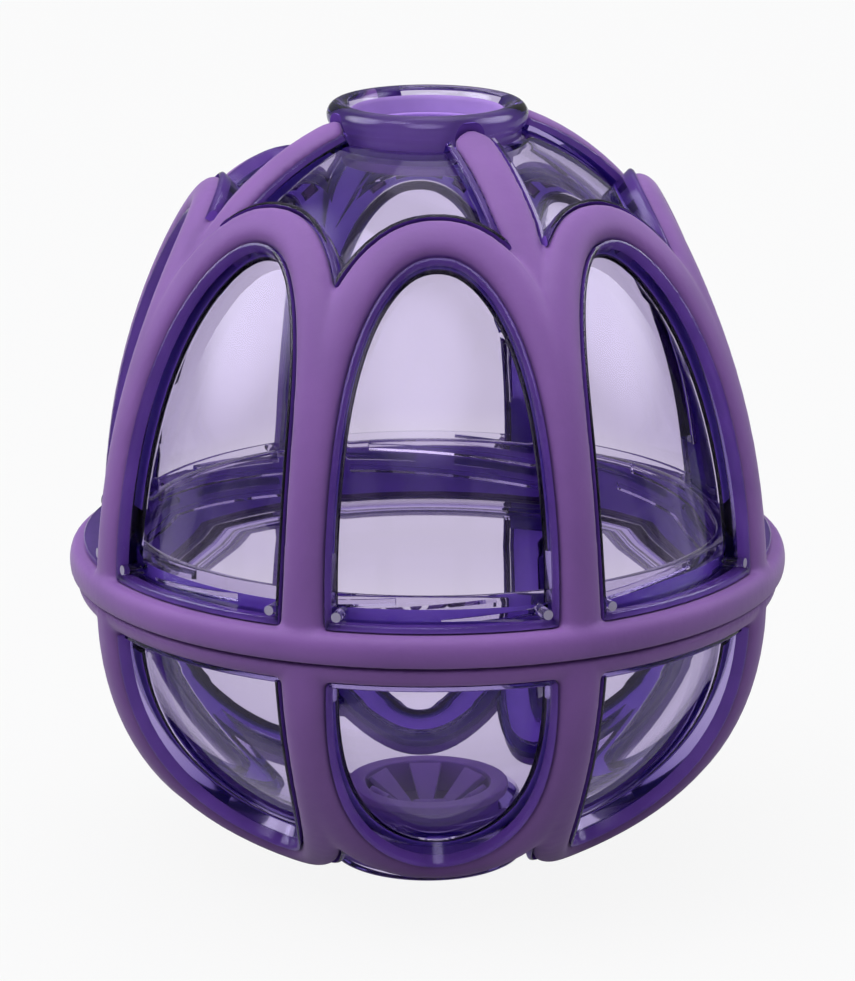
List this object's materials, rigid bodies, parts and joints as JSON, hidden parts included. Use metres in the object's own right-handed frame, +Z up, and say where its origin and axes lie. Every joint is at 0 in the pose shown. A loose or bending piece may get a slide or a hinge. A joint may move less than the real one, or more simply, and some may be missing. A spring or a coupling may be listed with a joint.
{
  "type": "treat dispensing toy",
  "caption": "Egg-shaped treat dispenser in two clear halves that screw together, caged in soft rubber arches, with a finger-ringed outlet at each end.",
  "frame": {"origin": "middle of the lower end, on the surface the toy stands on", "axes": "+Z up along the egg's axis, towards the narrower end; the middle of one window looks along -Y"},
  "size_m": [0.1192, 0.1192, 0.1295],
  "materials": {
    "clear_purple": "clear tinted plastic, glossy",
    "lilac_rubber": "soft matte rubber"
  },
  "bodies": {
    "lower_half": {"lower_shell": "clear_purple", "lower_bumper": "lilac_rubber", "lower_outlet_ring": "lilac_rubber"},
    "thread_carrier": {"upper_outlet_ring": "lilac_rubber"},
    "upper_half": {"upper_shell": "clear_purple", "upper_bumper": "lilac_rubber"},
    "lower_finger_1": {"lower_finger_1": "lilac_rubber"},
    "lower_finger_2": {"lower_finger_2": "lilac_rubber"},
    "lower_finger_3": {"lower_finger_3": "lilac_rubber"},
    "lower_finger_4": {"lower_finger_4": "lilac_rubber"},
    "lower_finger_5": {"lower_finger_5": "lilac_rubber"},
    "lower_finger_6": {"lower_finger_6": "lilac_rubber"},
    "upper_finger_1": {"upper_finger_1": "lilac_rubber"},
    "upper_finger_2": {"upper_finger_2": "lilac_rubber"},
    "upper_finger_3": {"upper_finger_3": "lilac_rubber"},
    "upper_finger_4": {"upper_finger_4": "lilac_rubber"},
    "upper_finger_5": {"upper_finger_5": "lilac_rubber"},
    "upper_finger_6": {"upper_finger_6": "lilac_rubber"}
  },
  "joints": [
    {"name": "rise", "type": "slide", "parent": "lower_half", "child": "thread_carrier", "axis": [0, 0, 1], "range_m": [0, 0.012]},
    {"name": "twist", "type": "hinge", "parent": "thread_carrier", "child": "upper_half", "pos_m": [0, 0, 0.0506], "axis": [0, 0, 1], "range_deg": [0, 180]},
    {"name": "lower_finger_1_bend", "type": "hinge", "parent": "lower_half", "child": "lower_finger_1", "pos_m": [0, -0.00945, 0.01083], "axis": [-1, 0, 0], "range_deg": [-8, 34], "stiffness_Nm_per_rad": 0.001},
    {"name": "lower_finger_2_bend", "type": "hinge", "parent": "lower_half", "child": "lower_finger_2", "pos_m": [0.00818, -0.00473, 0.01083], "axis": [-0.5, -0.866, 0], "range_deg": [-8, 34], "stiffness_Nm_per_rad": 0.001},
    {"name": "lower_finger_3_bend", "type": "hinge", "parent": "lower_half", "child": "lower_finger_3", "pos_m": [0.00818, 0.00472, 0.01083], "axis": [0.5, -0.866, 0], "range_deg": [-8, 34], "stiffness_Nm_per_rad": 0.001},
    {"name": "lower_finger_4_bend", "type": "hinge", "parent": "lower_half", "child": "lower_finger_4", "pos_m": [0, 0.00945, 0.01083], "axis": [1, 0, 0], "range_deg": [-8, 34], "stiffness_Nm_per_rad": 0.001},
    {"name": "lower_finger_5_bend", "type": "hinge", "parent": "lower_half", "child": "lower_finger_5", "pos_m": [-0.00818, 0.00473, 0.01083], "axis": [0.5, 0.866, 0], "range_deg": [-8, 34], "stiffness_Nm_per_rad": 0.001},
    {"name": "lower_finger_6_bend", "type": "hinge", "parent": "lower_half", "child": "lower_finger_6", "pos_m": [-0.00818, -0.00473, 0.01083], "axis": [-0.5, 0.866, 0], "range_deg": [-8, 34], "stiffness_Nm_per_rad": 0.001},
    {"name": "upper_finger_1_bend", "type": "hinge", "parent": "upper_half", "child": "upper_finger_1", "pos_m": [0, -0.00945, 0.11978], "axis": [1, 0, 0], "range_deg": [-8, 34], "stiffness_Nm_per_rad": 0.001},
    {"name": "upper_finger_2_bend", "type": "hinge", "parent": "upper_half", "child": "upper_finger_2", "pos_m": [0.00818, -0.00473, 0.11978], "axis": [0.5, 0.866, 0], "range_deg": [-8, 34], "stiffness_Nm_per_rad": 0.001},
    {"name": "upper_finger_3_bend", "type": "hinge", "parent": "upper_half", "child": "upper_finger_3", "pos_m": [0.00818, 0.00472, 0.11978], "axis": [-0.5, 0.866, 0], "range_deg": [-8, 34], "stiffness_Nm_per_rad": 0.001},
    {"name": "upper_finger_4_bend", "type": "hinge", "parent": "upper_half", "child": "upper_finger_4", "pos_m": [0, 0.00945, 0.11978], "axis": [-1, 0, 0], "range_deg": [-8, 34], "stiffness_Nm_per_rad": 0.001},
    {"name": "upper_finger_5_bend", "type": "hinge", "parent": "upper_half", "child": "upper_finger_5", "pos_m": [-0.00818, 0.00473, 0.11978], "axis": [-0.5, -0.866, 0], "range_deg": [-8, 34], "stiffness_Nm_per_rad": 0.001},
    {"name": "upper_finger_6_bend", "type": "hinge", "parent": "upper_half", "child": "upper_finger_6", "pos_m": [-0.00818, -0.00473, 0.11978], "axis": [0.5, -0.866, 0], "range_deg": [-8, 34], "stiffness_Nm_per_rad": 0.001}
  ],
  "couplings": [
    {"joint": "rise", "follows": "twist", "m_per_rad": 0.0038197}
  ]
}
